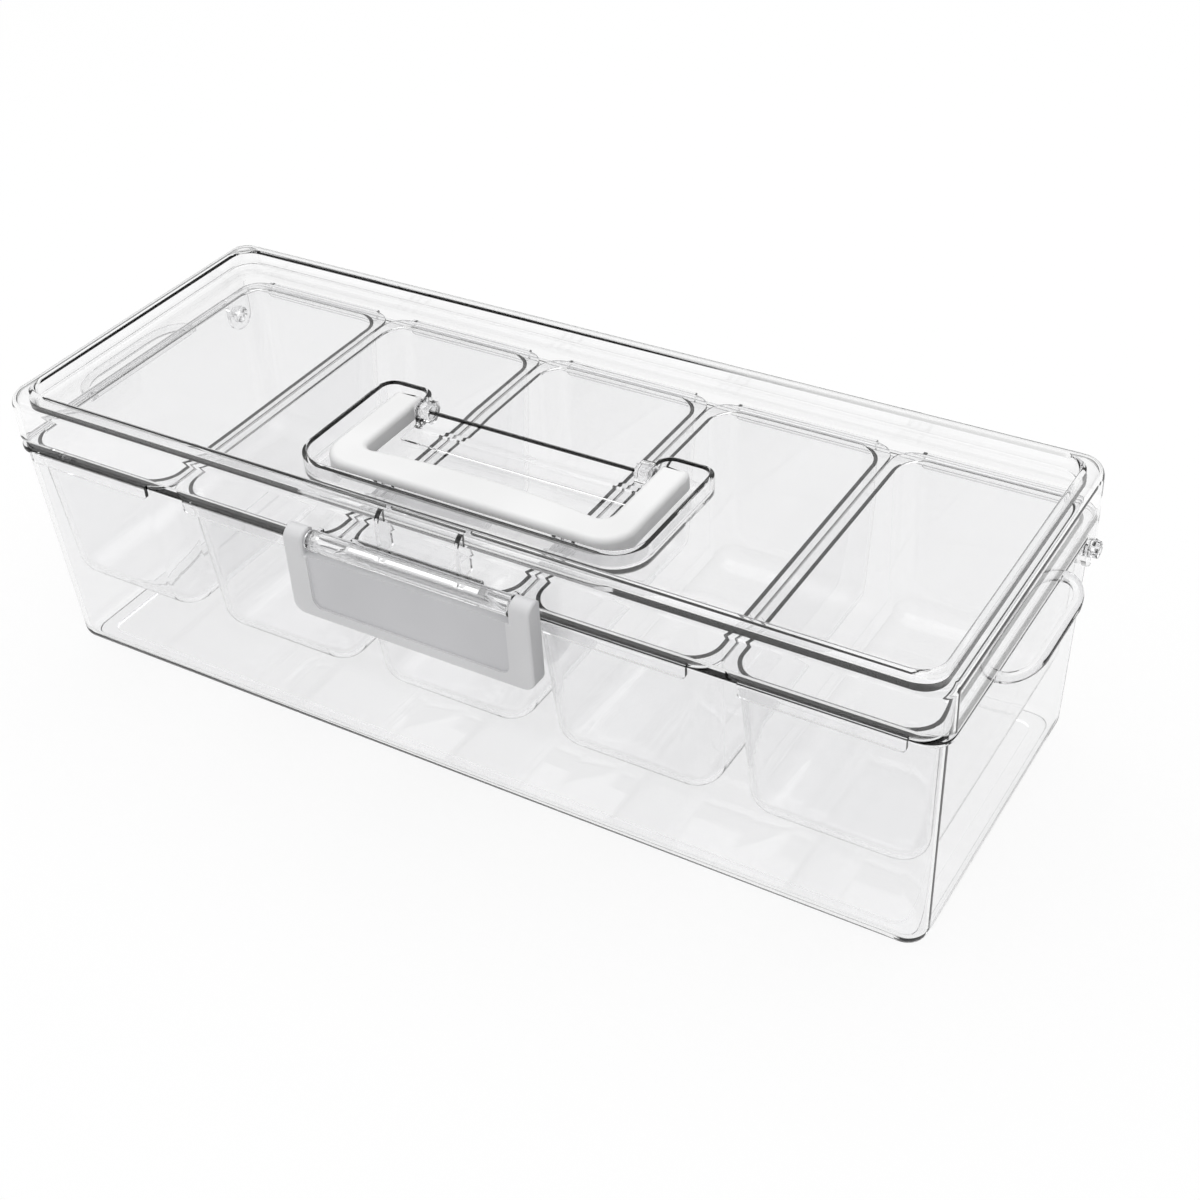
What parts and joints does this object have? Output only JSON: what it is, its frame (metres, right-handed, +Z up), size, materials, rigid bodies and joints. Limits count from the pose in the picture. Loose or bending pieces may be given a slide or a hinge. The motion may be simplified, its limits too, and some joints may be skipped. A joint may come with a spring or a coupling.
{
  "type": "chilled condiment server",
  "caption": "Clear lidded ice tub with lift-out condiment containers hung on its rim, a hinged lid with a folding carry handle in a pocket, loop end grips and a front latch.",
  "frame": {"origin": "bottom centre of the whole object with its latch, on the surface that it stands on", "axes": "+X along the length, +Y towards the lid's hinge at the back, +Z up"},
  "size_m": [0.4256, 0.1618, 0.1232],
  "materials": {
    "clear_tub": "gloss",
    "clear_lid": "gloss",
    "clear_container": "gloss",
    "clear_pin": "gloss",
    "white_handle": "satin",
    "white_latch": "satin"
  },
  "bodies": {
    "tub": {"base_tub": "clear_tub"},
    "lid": {"lid": "clear_lid", "latch_axle": "clear_pin", "handle_pin_left": "clear_pin", "handle_pin_right": "clear_pin"},
    "carry_handle": {"carry_handle": "white_handle"},
    "latch": {"latch_plate": "white_latch"},
    "container_1": {"container_1": "clear_container"},
    "container_2": {"container_2": "clear_container"},
    "container_3": {"container_3": "clear_container"},
    "container_4": {"container_4": "clear_container"},
    "container_5": {"container_5": "clear_container"}
  },
  "joints": [
    {"name": "lid_hinge", "type": "hinge", "parent": "tub", "child": "lid", "pos_m": [0, 0.06655, 0.09], "axis": [-1, 0, 0], "range_deg": [0, 105]},
    {"name": "handle_pivot", "type": "hinge", "parent": "lid", "child": "carry_handle", "pos_m": [0, 0.00725, 0.1128], "axis": [-1, 0, 0], "range_deg": [0, 90]},
    {"name": "latch_hinge", "type": "hinge", "parent": "lid", "child": "latch", "pos_m": [0, -0.07635, 0.1063], "axis": [-1, 0, 0], "range_deg": [0, 100]},
    {"name": "container_1_lift", "type": "slide", "parent": "tub", "child": "container_1", "axis": [0, 0, 1], "range_m": [0, 0.001]},
    {"name": "container_2_lift", "type": "slide", "parent": "tub", "child": "container_2", "axis": [0, 0, 1], "range_m": [0, 0.001]},
    {"name": "container_3_lift", "type": "slide", "parent": "tub", "child": "container_3", "axis": [0, 0, 1], "range_m": [0, 0.001]},
    {"name": "container_4_lift", "type": "slide", "parent": "tub", "child": "container_4", "axis": [0, 0, 1], "range_m": [0, 0.001]},
    {"name": "container_5_lift", "type": "slide", "parent": "tub", "child": "container_5", "axis": [0, 0, 1], "range_m": [0, 0.001]}
  ]
}
